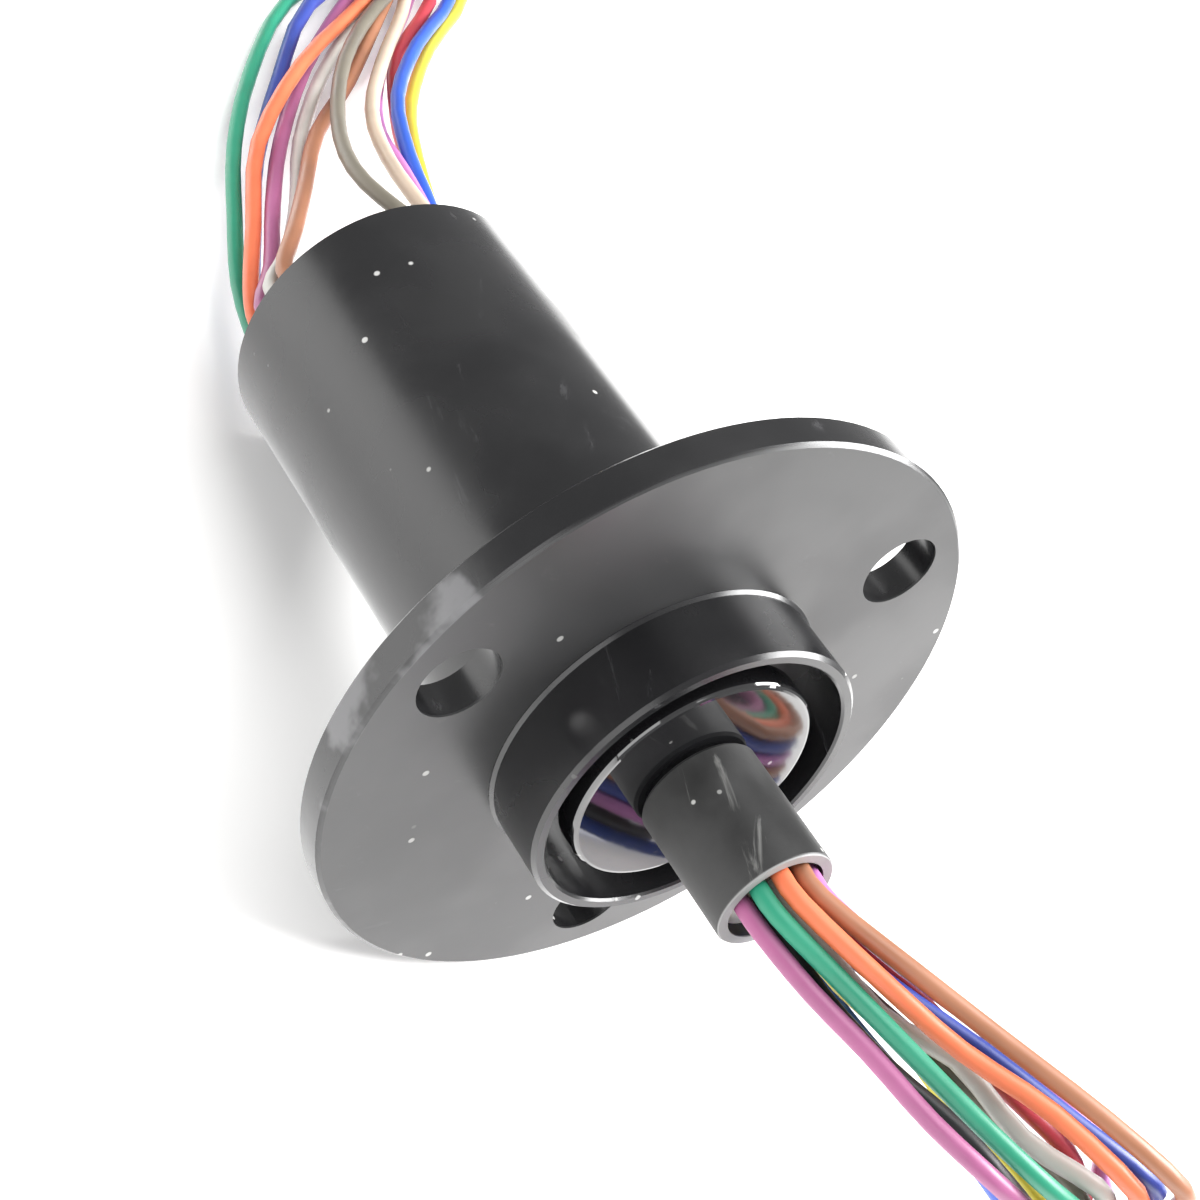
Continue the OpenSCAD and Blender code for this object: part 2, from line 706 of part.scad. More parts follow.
// Outer shape of one coil of leads, stepped where its first turn begins
module lead_coil(mid, turn, hand, turns, entry_z) {
    tall = coil_h + coil_rise * turns;
    translate([mid[0], mid[1], coil_lift])
        rotate([0, 0, turn])
            difference() {
                rotate_extrude()
                    translate([coil_inner, 0])
                        offset(r = 0.6, $fn = 16)
                            translate([0.6, 0.6])
                                square([coil_band - 1.2, tall - 1.2]);
                translate([-coil_outer - 1, hand > 0 ? -lead_gap : -coil_outer, entry_z])
                    cube([coil_outer + 1, coil_outer + lead_gap, coil_h + 0.2]);
            }
}

module rotor_coil() {
    color([0.6, 0.58, 0.55])
        lead_coil(rotor_coil_mid, 0, -1, rotor_turns, coil_rise * rotor_turns - 0.1);
}

module stator_coil() {
    color([0.6, 0.58, 0.55])
        lead_coil(stator_coil_mid, -90, 1, stator_turns, -0.1);
}

// Tie round the section of a coil, with its twisted ends on top
module coil_tie(mid, turn, turns) {
    tall = coil_h + coil_rise * turns;
    color([0.1, 0.1, 0.1])
        translate([mid[0], mid[1], 0])
            rotate([0, 0, turn])
                translate([coil_r, 0, 0]) {
                    difference() {
                        translate([-coil_band / 2 - 0.5, -1.2, 0])
                            cube([coil_band + 1, 2.4, tall + 2 * coil_lift]);
                        translate([-coil_band / 2 - 0.1, -2, coil_lift])
                            cube([coil_band + 0.2, 4, tall]);
                    }
                    translate([-2, -0.6, tall + 2 * coil_lift])
                        cube([4, 1.2, 1]);
                }
}

module rotor_tie() {
    coil_tie(rotor_coil_mid, 20, rotor_turns);
}

module stator_tie() {
    coil_tie(stator_coil_mid, 200, stator_turns);
}

housing();
front_outer_race();
rear_outer_race();
front_balls();
front_ball_cage();
rear_balls();
rear_ball_cage();
brush_frame();
brush_board(board_turns[0]);  // brush_board_a
brush_board(board_turns[1]);  // brush_board_b
brush_wires(board_turns[0], 0);  // brush_wires_a
brush_wires(board_turns[1], 1);  // brush_wires_b
rear_cap();
stator_lead_roots();
rotor_core();
rotor_cap();
front_inner_race();
rear_inner_race();
rotor_clip();
contact_rings();
ring_spacers();
stem_sleeve();
stem_glue();
rotor_lead_roots();
rotor_lead(0);  // rotor_lead_1
rotor_lead(1);  // rotor_lead_2
rotor_lead(2);  // rotor_lead_3
rotor_lead(3);  // rotor_lead_4
rotor_lead(4);  // rotor_lead_5
rotor_lead(5);  // rotor_lead_6
rotor_lead(6);  // rotor_lead_7
rotor_lead(7);  // rotor_lead_8
rotor_lead(8);  // rotor_lead_9
rotor_lead(9);  // rotor_lead_10
rotor_lead(10);  // rotor_lead_11
rotor_lead(11);  // rotor_lead_12
stator_lead(0);  // stator_lead_1
stator_lead(1);  // stator_lead_2
stator_lead(2);  // stator_lead_3
stator_lead(3);  // stator_lead_4
stator_lead(4);  // stator_lead_5
stator_lead(5);  // stator_lead_6
stator_lead(6);  // stator_lead_7
stator_lead(7);  // stator_lead_8
stator_lead(8);  // stator_lead_9
stator_lead(9);  // stator_lead_10
stator_lead(10);  // stator_lead_11
stator_lead(11);  // stator_lead_12
rotor_coil();
stator_coil();
rotor_tie();
stator_tie();
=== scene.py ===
# Capsule slip ring lying on a pale bench, with a bundle of coloured leads at each end.
# Metres, +Z up; the spin axis lies in the XZ plane and rises towards +X.
import json
from math import acos, atan2, ceil, cos, pi, radians, sin

import bpy
import bmesh
from mathutils import Matrix, Vector


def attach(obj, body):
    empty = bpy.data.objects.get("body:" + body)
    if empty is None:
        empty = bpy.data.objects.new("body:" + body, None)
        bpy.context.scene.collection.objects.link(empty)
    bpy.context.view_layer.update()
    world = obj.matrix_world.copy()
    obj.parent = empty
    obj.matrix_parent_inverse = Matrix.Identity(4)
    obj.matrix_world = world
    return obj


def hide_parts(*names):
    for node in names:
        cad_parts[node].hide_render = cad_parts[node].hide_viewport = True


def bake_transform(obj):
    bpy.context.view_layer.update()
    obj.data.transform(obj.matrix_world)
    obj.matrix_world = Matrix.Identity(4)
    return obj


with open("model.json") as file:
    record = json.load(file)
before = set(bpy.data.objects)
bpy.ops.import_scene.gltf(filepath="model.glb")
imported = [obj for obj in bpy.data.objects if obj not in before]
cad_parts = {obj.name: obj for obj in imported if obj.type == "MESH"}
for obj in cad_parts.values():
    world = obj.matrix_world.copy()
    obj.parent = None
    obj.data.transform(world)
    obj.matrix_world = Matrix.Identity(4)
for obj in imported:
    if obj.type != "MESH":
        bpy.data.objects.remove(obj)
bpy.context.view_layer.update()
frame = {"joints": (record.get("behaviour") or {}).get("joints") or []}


# ---- Camera ----
# Seen from in front of the stem and from above, rolled so that the stem points down the
# picture and the rear leads run off the top.
mm = 0.001
camera_right = Vector((0.2906, 0.6676, 0.6855)).normalized()
camera_forward = Vector((-0.3924, 0.7365, -0.5509)).normalized()
camera_up = camera_right.cross(camera_forward).normalized()
camera_right = camera_forward.cross(camera_up)
lens = bpy.data.cameras.new("camera")
lens.lens = 65.93
lens.sensor_width = 36
lens.clip_start = 0.005
lens.clip_end = 20
camera = bpy.data.objects.new("camera", lens)
bpy.context.scene.collection.objects.link(camera)
turn = Matrix((camera_right, camera_up, -camera_forward)).transposed().to_4x4()
camera.matrix_world = Matrix.Translation(Vector((57.389, -100.942, 96.468)) * mm) @ turn
bpy.context.scene.camera = camera


# ---- Spin axis ----
# The ring rests on its flange rim and the rear edge of its barrel, so the axis leans.
# Places round the axis are a turn from straight down, a radius and a height on the axis.
rotor_joint = next(j for j in frame["joints"] if j["name"] == "rotor_spin")
axis = Vector(rotor_joint["axis"]).normalized()
axis_foot = Vector(rotor_joint["pos_m"])
lean = atan2(axis.z, axis.x)
axis_down = Vector((sin(lean), 0, -cos(lean)))
axis_side = Vector((0, 1, 0))


def on_axis(turn_deg, radius_mm, height_mm):
    angle = radians(turn_deg)
    across = axis_down * cos(angle) + axis_side * sin(angle)
    return axis_foot + (across * radius_mm + axis * height_mm) * mm


# ---- Leads ----
# Twelve stranded leads with plastic insulation leave each end. The rotor's come straight
# out of the stem, the stator's out of the rear cap, and each bundle goes into a tied coil.
lead_d = 1.2
lead_pitch = 1.25
lead_length = 250
coil_r = 12
coil_low = 2.25
coil_rise = 3 * lead_pitch


def smooth_way(points, steps):
    """Catmull-Rom curve through every point."""
    first = 2 * points[0] - points[1]
    last = 2 * points[-1] - points[-2]
    held = [first, *points, last]
    way = []
    for a, b, c, d in zip(held, held[1:], held[2:], held[3:]):
        for step in range(steps):
            t = step / steps
            way.append(0.5 * (2 * b + (c - a) * t + (2 * a - 5 * b + 4 * c - d) * t * t
                              + (3 * b - a - 3 * c + d) * t * t * t))
    return way + [points[-1]]


def in_bundle(middle, heading, cell):
    heading = Vector(heading).normalized()
    side = heading.cross(Vector((0, 0, 1))).normalized()
    up = side.cross(heading)
    offset = side * (cell[0] - 1.5) + up * (cell[1] - 1)
    return (Vector(middle) + offset * lead_pitch) * mm


def wind_coil(way, middle, entry_deg, hand, cell, entry_z):
    """Adds turns of a stacked coil until the lead's length is used up."""
    used = sum((b - a).length for a, b in zip(way, way[1:]))
    radius = coil_r + hand * (cell[0] - 1.5) * lead_pitch
    rise = coil_rise if entry_z == coil_low else -coil_rise
    turned = 0
    while used < lead_length * mm - 1e-7:
        turned += 12
        angle = radians(entry_deg + hand * turned)
        height = entry_z + (cell[1] - 1) * lead_pitch + rise * turned / 360
        point = Vector((middle[0] + radius * cos(angle), middle[1] + radius * sin(angle), height)) * mm
        step = point - way[-1]
        left = lead_length * mm - used
        if step.length > left:
            point = way[-1] + step * (left / step.length)
        used += min(step.length, left)
        way.append(point)
    return way


def tube_mesh(name, way, radius, sides=12):
    """Round tube along a line of points, with rounded cut ends."""
    mesh = bmesh.new()
    heading = (way[1] - way[0]).normalized()
    side = heading.orthogonal().normalized()
    rings = []
    along = 0.0
    spots = [(0, -0.0, 0.72), (0, 0.08, 0.94)] + [(i, 0, 1) for i in range(1, len(way) - 1)]
    spots += [(len(way) - 1, -0.08, 0.94), (len(way) - 1, 0, 0.72)]
    for index, slip, scale in spots:
        ahead = way[min(index + 1, len(way) - 1)]
        behind = way[max(index - 1, 0)]
        heading = (ahead - behind).normalized()
        side = (side - heading * side.dot(heading)).normalized()
        up = heading.cross(side)
        middle = way[index] + heading * slip * radius * 2
        rings.append([
            mesh.verts.new(middle + (side * cos(2 * pi * k / sides) + up * sin(2 * pi * k / sides))
                           * radius * scale)
            for k in range(sides)])
    for low, high in zip(rings, rings[1:]):
        for k in range(sides):
            n = (k + 1) % sides
            mesh.faces.new((low[k], low[n], high[n], high[k]))
    mesh.faces.new(list(reversed(rings[0])))
    mesh.faces.new(rings[-1])
    for face in mesh.faces:
        face.smooth = len(face.verts) == 4
    data = bpy.data.meshes.new(name)
    mesh.to_mesh(data)
    mesh.free()
    piece = bpy.data.objects.new(name, data)
    bpy.context.scene.collection.objects.link(piece)
    return piece


def add_node(tree, kind, values=None, sources=None, **settings):
    node = tree.nodes.new(kind)
    for key, value in settings.items():
        setattr(node, key, value)
    for socket, value in (values or {}).items():
        node.inputs[socket].default_value = value
    for socket, source in (sources or {}).items():
        tree.links.new(source, node.inputs[socket])
    return node


def new_group(name, inputs, outputs):
    """Empty shader group with float inputs and outputs, and its two end nodes."""
    group = bpy.data.node_groups.new(name, "ShaderNodeTree")
    for label, value in inputs.items():
        socket = group.interface.new_socket(label, in_out="INPUT", socket_type="NodeSocketFloat")
        socket.default_value = value
    for label in outputs:
        group.interface.new_socket(label, in_out="OUTPUT", socket_type="NodeSocketFloat")
    return group, add_node(group, "NodeGroupInput").outputs, add_node(group, "NodeGroupOutput").inputs


def place_group(tree, group, **values):
    node = tree.nodes.new("ShaderNodeGroup")
    node.node_tree = group
    for label, value in values.items():
        node.inputs[label.replace("_", " ").capitalize()].default_value = value
    return node


def ramp(tree, source, low, high, low_value=0.0, high_value=1.0):
    """Value that goes smoothly from one level to another as its source passes low to high."""
    node = add_node(tree, "ShaderNodeMapRange", sources={"Value": source},
                    interpolation_type="SMOOTHSTEP")
    for label, value in (("From Min", low), ("From Max", high),
                         ("To Min", low_value), ("To Max", high_value)):
        node.inputs[label].default_value = value
    return node.outputs["Result"]


def combine(tree, operation, a, b):
    node = add_node(tree, "ShaderNodeMath", operation=operation)
    for index, term in enumerate((a, b)):
        if isinstance(term, (int, float)):
            node.inputs[index].default_value = term
        else:
            tree.links.new(term, node.inputs[index])
    return node.outputs["Value"]


def tint(tree, factor, low, high):
    """Colour between two colours or colour sockets."""
    node = add_node(tree, "ShaderNodeMix", data_type="RGBA")
    tree.links.new(factor, node.inputs["Factor"])
    for index, colour in ((6, low), (7, high)):
        if isinstance(colour, tuple):
            node.inputs[index].default_value = (*colour, 1)
        else:
            tree.links.new(colour, node.inputs[index])
    return node.outputs[2]


def new_finish(name, roughness, **values):
    """New material with its Principled shader."""
    finish = bpy.data.materials.new(name)
    finish.use_nodes = True
    tree = finish.node_tree
    skin = tree.nodes["Principled BSDF"]
    skin.inputs["Roughness"].default_value = roughness
    for label, value in values.items():
        skin.inputs[label.replace("_", " ")].default_value = value
    return finish, tree, skin


def bump_from(tree, skin, height, strength, distance):
    node = add_node(tree, "ShaderNodeBump", {"Strength": strength, "Distance": distance},
                    {"Height": height})
    tree.links.new(node.outputs["Normal"], skin.inputs["Normal"])
    return node


# Fine uneven grain that every moulded or extruded plastic here shares.
plastic_grain, grain_in, grain_out = new_group("plastic_grain", {"Scale": 900.0}, ("Cloud", "Height"))
here = add_node(plastic_grain, "ShaderNodeTexCoord").outputs["Object"]
fine = add_node(plastic_grain, "ShaderNodeTexNoise", {"Detail": 3.0},
                {"Vector": here, "Scale": grain_in["Scale"]})
broad_scale = combine(plastic_grain, "MULTIPLY", grain_in["Scale"], 0.14)
broad = add_node(plastic_grain, "ShaderNodeTexNoise", {"Detail": 5.0},
                 {"Vector": here, "Scale": broad_scale})
plastic_grain.links.new(ramp(plastic_grain, broad.outputs["Fac"], 0.3, 0.7), grain_out["Cloud"])
plastic_grain.links.new(fine.outputs["Fac"], grain_out["Height"])

lead_colours = {
    "violet": (0.42, 0.12, 0.27), "green": (0.02, 0.29, 0.17), "orange": (0.86, 0.19, 0.08),
    "brown": (0.40, 0.17, 0.09), "black": (0.012, 0.012, 0.014), "white": (0.60, 0.59, 0.55),
    "blue": (0.03, 0.06, 0.34), "grey": (0.20, 0.18, 0.14), "pink": (0.62, 0.22, 0.55),
    "red": (0.55, 0.05, 0.07), "yellow": (0.72, 0.62, 0.05), "pale_blue": (0.03, 0.12, 0.66),
    "beige": (0.72, 0.58, 0.45)}


def insulation(name):
    """Extruded insulation: soft sheen, slightly cloudy colour, faint surface grain."""
    finish, tree, skin = new_finish("insulation_" + name, 0.42)
    grain = place_group(tree, plastic_grain, scale=1400.0)
    colour = lead_colours[name]
    darker = tuple(c * 0.82 for c in colour)
    tree.links.new(tint(tree, grain.outputs["Cloud"], darker, colour), skin.inputs["Base Color"])
    tree.links.new(ramp(tree, grain.outputs["Cloud"], 0, 1, 0.36, 0.5), skin.inputs["Roughness"])
    bump_from(tree, skin, grain.outputs["Height"], 0.25, 0.00004)
    return finish


insulations = {name: insulation(name) for name in lead_colours}

rotor_colours = ("violet", "green", "orange", "brown", "black", "white",
                 "blue", "grey", "pink", "red", "yellow", "pale_blue")
mouth_places = ((284, 2.45), (250, 2.45), (215, 2.45), (178, 2.45), (300, 1.05), (210, 1.05),
                (138, 1.05), (76, 2.45), (144, 2.45), (110, 2.45), (66, 1.05), (42, 2.45))
rotor_cells = ((3, 2), (2, 2), (1, 2), (0, 2), (3, 1), (1, 1),
               (0, 1), (2, 1), (0, 0), (1, 0), (2, 0), (3, 0))
rotor_coil_z = coil_low + coil_rise * 2.85
rotor_bundle = (((49.3, 35.5, 16.3), (-0.03, 0.78, -0.62)), ((48.7, 40, 14.2), (0, 0.94, -0.34)),
                ((48.5, 45, rotor_coil_z), (0, 1, 0)))
rotor_coil_middle = (48.5 + coil_r, 45)
rotor_ways = (
    # violet
    ((32, -1, 27), (36, 1, 28), (40.5, 3, 29), (44.5, 6.5, 29.5),
     (47, 15, 26.5), (49, 22.5, 23.5), (50.5, 30, 20.5)),
    # green
    ((32, 0, 28.5), (36.5, 2.5, 29.5), (41.5, 5.5, 30.5), (45.5, 10, 30.5),
     (47.5, 17.5, 28), (49, 24.5, 24.5), (49.5, 32, 21.5)),
    # orange
    ((32.5, 1.5, 30), (37, 6, 30.5), (41.5, 10.5, 32), (46.5, 16, 32),
     (47.5, 21, 28.5), (48, 26.5, 25), (48, 32.5, 21)),
    # brown
    ((32.5, 3.5, 31), (37, 8, 32), (42.5, 13, 33.5), (47, 18.5, 33.5),
     (47.5, 23.5, 30), (47.5, 28.5, 25.5), (47, 34.5, 21.5)),
    # black
    ((32, 0.5, 26.5), (36.5, 3.5, 27), (40.5, 6.5, 28), (44, 9.5, 28),
     (46.5, 16.5, 25), (48, 23.5, 21.5), (50, 30, 19)),
    # white
    ((34, 2.5, 28.5), (37, 7.5, 29), (42, 10.5, 29.5), (45.5, 15.5, 30),
     (46.5, 21, 27), (46.5, 26, 23.5), (47.5, 31.5, 19.5)),
    # blue
    ((32, 4, 28.5), (37, 9, 30), (41.5, 13.5, 31), (46, 19, 31.5),
     (46.5, 23.5, 28.5), (46.5, 28.5, 24.5), (46.5, 33, 20.5)),
    # grey
    ((31.5, 4, 26.5), (36.5, 8, 27.5), (41, 11, 28.5), (45, 15.5, 28.5),
     (47, 20.5, 25.5), (48.5, 26, 22.5), (49, 32, 20)),
    # pink
    ((31.5, 5, 29.5), (35.5, 10, 30), (39.5, 14.5, 30), (43, 19.5, 29),
     (44, 23.5, 26), (45.5, 28, 23), (45, 32.5, 18.5)),
    # red
    ((31, 5.5, 28), (35.5, 9, 28.5), (39.5, 13, 28.5), (42.5, 18, 27.5),
     (44.5, 22.5, 25), (45, 27, 22), (47, 30, 19)),
    # yellow
    ((31.5, 2, 27), (35.5, 5.5, 27.5), (39.5, 9, 27), (43, 13.5, 26.5),
     (45, 19.5, 24), (47, 25, 21.5), (48.5, 30.5, 19)),
    # cyan
    ((31.5, 2.5, 25.5), (35, 5, 25.5), (38.5, 8, 25.5), (42, 12, 25),
     (45, 18, 22.5), (47.5, 24.5, 20), (50, 30, 17)),
)
mouth_start = 15.8

for index, colour in enumerate(rotor_colours):
    turn_deg, radius = mouth_places[index]
    start = [on_axis(turn_deg, radius, mouth_start), on_axis(turn_deg, radius, mouth_start + 2.6)]
    free = [Vector(point) * mm for point in rotor_ways[index]]
    bundle = [in_bundle(*stop, rotor_cells[index]) for stop in rotor_bundle]
    way = smooth_way(start + free + bundle, 3)
    way = wind_coil(way, rotor_coil_middle, 180, -1, rotor_cells[index], rotor_coil_z)
    lead = tube_mesh(f"rotor_lead_{colour}", way, lead_d / 2 * mm)
    lead.data.materials.append(insulations[colour])
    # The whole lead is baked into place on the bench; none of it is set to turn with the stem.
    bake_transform(lead)
    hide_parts(f"rotor_lead_{index + 1}", "rotor_coil")

stator_colours = ("violet", "green", "orange", "brown", "beige", "white",
                  "blue", "grey", "pink", "red", "yellow", "pale_blue")
exit_turns = (284, 306, 295, 262, 126, 273, 317, 137, 115, 93, 82, 104)
stator_cells = ((1, 1), (0, 1), (1, 2), (1, 0), (2, 1), (0, 0),
                (0, 2), (2, 2), (2, 0), (3, 1), (3, 0), (3, 2))
stator_bundle = (((-85.5, 34.2, coil_low), (-0.88, 0.47, 0)), ((-92.5, 36, coil_low), (-0.98, 0.2, 0)),
                 ((-99.5, 36, coil_low), (-1, 0, 0)))
stator_coil_middle = (-99.5, 36 - coil_r)
stator_ways = (
    # violet
    ((-30, -5.5, 7), (-37, -2.5, 6), (-46, 2.5, 4), (-57, 9.5, 2.5),
     (-68.5, 18.5, 1.5), (-77.5, 26.5, 2)),
    # green
    ((-30.5, -6, 4), (-37.5, -4, 3.5), (-45.5, -1, 2.5), (-55, 4, 1.5),
     (-66, 11.5, 1), (-76.5, 23.5, 1.5)),
    # orange
    ((-28.5, -7, 6), (-35, -4.5, 5.5), (-44.5, -0.5, 4.5), (-55, 7, 4.5),
     (-66.5, 18, 2.5), (-75.5, 26, 3)),
    # brown
    ((-31, -5.5, 10), (-37, -1.5, 8.5), (-46, 4.5, 6), (-55.5, 12.5, 4),
     (-67.5, 21.5, 2), (-76.5, 28, 1)),
    # beige
    ((-34.5, 6, 12.5), (-42, 7.5, 9.5), (-49.5, 10.5, 7), (-59, 17, 4.5),
     (-69.5, 25, 2), (-77.5, 29, 2.5)),
    # white
    ((-30.5, -5, 8.5), (-37, -1, 7), (-46, 4, 4.5), (-56.5, 11, 2.5),
     (-68.5, 20.5, 1), (-77.5, 27, 0.7)),
    # blue1
    ((-30, -4.5, 3.5), (-36.5, -2.5, 3.5), (-44.5, 0.5, 3), (-54.5, 6, 2.5),
     (-65.5, 13, 2), (-76, 24.5, 3)),
    # taupe
    ((-32.5, 2, 13.5), (-38, 1.5, 11), (-46, 5, 8), (-56, 11, 5.5),
     (-67, 20, 3), (-76, 28.5, 4)),
    # pink
    ((-36, 8, 11), (-42.5, 10, 8.5), (-49, 12.5, 5.5), (-56, 16.5, 3),
     (-64, 22, 1), (-74.5, 29, 0.7)),
    # red
    ((-37.5, 11.5, 8), (-46, 13.5, 6.5), (-53, 16.5, 4.5), (-62.5, 21.5, 2.5),
     (-72.5, 29.5, 2), (-78.5, 31.5, 2)),
    # yellow
    ((-38.5, 13.5, 7), (-47.5, 16, 5.5), (-56, 20, 3.5), (-66, 27, 2),
     (-76.5, 36, 1), (-80.5, 34, 0.7)),
    # blue2
    ((-37, 10, 10), (-45, 12, 8), (-53.5, 15.5, 6), (-63.5, 23, 4),
     (-74, 32.5, 2), (-79, 32.5, 3.5)),
)
root_r = 8.3
root_start = -35

for index, colour in enumerate(stator_colours):
    start = [on_axis(exit_turns[index], root_r, root_start),
             on_axis(exit_turns[index], root_r, root_start - 3.5)]
    free = [Vector(point) * mm for point in stator_ways[index]]
    bundle = [in_bundle(*stop, stator_cells[index]) for stop in stator_bundle]
    way = smooth_way(start + free + bundle, 3)
    way = wind_coil(way, stator_coil_middle, 90, 1, stator_cells[index], coil_low)
    lead = tube_mesh(f"stator_lead_{colour}", way, lead_d / 2 * mm)
    lead.data.materials.append(insulations[colour])
    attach(lead, "stator")
    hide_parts(f"stator_lead_{index + 1}", "stator_coil")


def give(node, finish):
    """Puts one finish on a whole CAD node."""
    data = bpy.data.objects[node].data
    data.materials.clear()
    data.materials.append(finish)


# ---- Bench and light ----
# A plain white sweep, with one large soft lamp high on the right of the picture, a broad
# weak one over the part and a low fill. The sweep glows evenly white to the camera, and glows
# brightly in glossy rays as a painted reflection in the glossy parts.
bench = bpy.data.meshes.new("bench")
bench.from_pydata([(-2, -2, 0), (2, -2, 0), (2, 2, 0), (-2, 2, 0)], [], [(0, 1, 2, 3)])
floor = bpy.data.objects.new("bench", bench)
bpy.context.scene.collection.objects.link(floor)
paper = bpy.data.materials.new("paper")
paper.use_nodes = True
tree = paper.node_tree
tree.nodes.clear()
rays = add_node(tree, "ShaderNodeLightPath").outputs
seen = combine(tree, "MAXIMUM", rays["Is Camera Ray"], rays["Is Transmission Ray"])
matt = add_node(tree, "ShaderNodeBsdfDiffuse", {"Color": (0.80, 0.795, 0.785, 1)})
backdrop_glow_and_painted_reflection = add_node(tree, "ShaderNodeEmission", {"Color": (1, 1, 1, 1)})
# Even white glow for camera rays; a strong glow for glossy rays only, which paints a bright reflection
# of the bench into the glossy parts.
tree.links.new(combine(tree, "ADD", combine(tree, "MULTIPLY", seen, 0.30),
                       combine(tree, "MULTIPLY", rays["Is Glossy Ray"], 1.2)),
               backdrop_glow_and_painted_reflection.inputs["Strength"])
both = add_node(tree, "ShaderNodeAddShader", sources={0: matt.outputs[0], 1: backdrop_glow_and_painted_reflection.outputs[0]})
end = add_node(tree, "ShaderNodeOutputMaterial", sources={"Surface": both.outputs[0]})
bench.materials.append(paper)

world = bpy.data.worlds.new("studio")
bpy.context.scene.world = world
world.use_nodes = True
tree = world.node_tree
tree.nodes.clear()
rays = add_node(tree, "ShaderNodeLightPath").outputs
seen = combine(tree, "MAXIMUM", rays["Is Camera Ray"], rays["Is Transmission Ray"])
sky = add_node(tree, "ShaderNodeBackground", {"Color": (1, 1, 1, 1)})
tree.links.new(combine(tree, "MAXIMUM", seen, 0.45), sky.inputs["Strength"])
end = add_node(tree, "ShaderNodeOutputWorld", sources={"Surface": sky.outputs[0]})


def lamp(name, place, aim, size, power):
    """Square soft lamp, aimed at a point; places in millimetres."""
    light = bpy.data.lights.new(name, "AREA")
    light.size = size
    light.energy = power
    holder = bpy.data.objects.new(name, light)
    bpy.context.scene.collection.objects.link(holder)
    holder.location = Vector(place) * mm
    holder.rotation_euler = (Vector(aim) - Vector(place)).to_track_quat("-Z", "Y").to_euler()


lamp("key", (120, 420, 420), (0, 0, 10), 0.32, 7.0)
lamp("overhead", (-120, -60, 560), (0, 0, 10), 0.5, 3.2)
lamp("fill", (380, -420, 220), (0, 0, 20), 0.4, 1.2)


# ---- Housing ----
# Barrel, bolt flange and boss, moulded in one piece in black glossy plastic. Handling has
# left fine scuffs, nicks along the flange rim and a few specks of dust.
wear, wear_in, wear_out = new_group(
    "dust_and_scuffs", {"Dust": 0.5, "Scuffs": 0.5, "Scale": 260.0}, ("Dust", "Scuffs"))
here = add_node(wear, "ShaderNodeTexCoord").outputs["Object"]
cells = add_node(wear, "ShaderNodeTexVoronoi", {"Randomness": 1.0},
                 {"Vector": here, "Scale": combine(wear, "MULTIPLY", wear_in["Scale"], 2.6)})
picked = add_node(wear, "ShaderNodeSeparateColor", sources={"Color": cells.outputs["Color"]})
speck = ramp(wear, cells.outputs["Distance"], 0.10, 0.16, 1.0, 0.0)
chosen = ramp(wear, picked.outputs["Red"], 0.90, 0.93)
speck = combine(wear, "MULTIPLY", combine(wear, "MULTIPLY", speck, chosen), wear_in["Dust"])
wear.links.new(speck, wear_out["Dust"])
drawn = add_node(wear, "ShaderNodeMapping", {"Scale": (0.25, 1.0, 2.2), "Rotation": (0.5, 0.9, 0.4)},
                 {"Vector": here})
lines = add_node(wear, "ShaderNodeTexNoise", {"Detail": 6.0, "Roughness": 0.65, "Distortion": 0.6},
                 {"Vector": drawn.outputs["Vector"], "Scale": wear_in["Scale"]})
scuff = combine(wear, "MULTIPLY", ramp(wear, lines.outputs["Fac"], 0.62, 0.72), wear_in["Scuffs"])
wear.links.new(scuff, wear_out["Scuffs"])

# Radius from the spin axis and height along it, in millimetres.
spin_place, place_in, place_out = new_group("spin_place", {}, ("Radius", "Height"))
here = add_node(spin_place, "ShaderNodeTexCoord").outputs["Object"]
from_foot = add_node(spin_place, "ShaderNodeVectorMath", {1: tuple(axis_foot)}, {0: here},
                     operation="SUBTRACT").outputs["Vector"]
up_axis = add_node(spin_place, "ShaderNodeVectorMath", {1: tuple(axis)}, {0: from_foot},
                   operation="DOT_PRODUCT").outputs["Value"]
reach = add_node(spin_place, "ShaderNodeVectorMath", {1: tuple(axis)}, {0: from_foot},
                 operation="CROSS_PRODUCT").outputs["Vector"]
length = add_node(spin_place, "ShaderNodeVectorMath", sources={0: reach}, operation="LENGTH")
spin_place.links.new(combine(spin_place, "MULTIPLY", length.outputs["Value"], 1000.0),
                     place_out["Radius"])
spin_place.links.new(combine(spin_place, "MULTIPLY", up_axis, 1000.0), place_out["Height"])

gloss_black, tree, skin = new_finish("gloss_black_moulding", 0.3, IOR=1.55)
grain = place_group(tree, plastic_grain, scale=700.0)
marks = place_group(tree, wear, dust=0.75, scuffs=0.35, scale=240.0)
place = place_group(tree, spin_place)
on_flange = combine(tree, "MULTIPLY", ramp(tree, place.outputs["Radius"], 11.2, 11.4),
                    ramp(tree, place.outputs["Height"], 2.3, 2.45))
on_rim = ramp(tree, place.outputs["Radius"], 21.85, 22.05)
nicks = combine(tree, "MULTIPLY", on_rim, ramp(tree, grain.outputs["Cloud"], 0.72, 0.9, 0.0, 0.5))
body = tint(tree, grain.outputs["Cloud"], (0.010, 0.010, 0.011), (0.017, 0.017, 0.018))
body = tint(tree, on_flange, body, (0.035, 0.035, 0.036))
body = tint(tree, marks.outputs["Scuffs"], body, (0.10, 0.10, 0.105))
body = tint(tree, nicks, body, (0.28, 0.28, 0.29))
body = tint(tree, marks.outputs["Dust"], body, (0.72, 0.72, 0.70))
tree.links.new(body, skin.inputs["Base Color"])
rough = combine(tree, "ADD", ramp(tree, grain.outputs["Cloud"], 0, 1, 0.20, 0.30),
                combine(tree, "MULTIPLY", on_flange, 0.10))
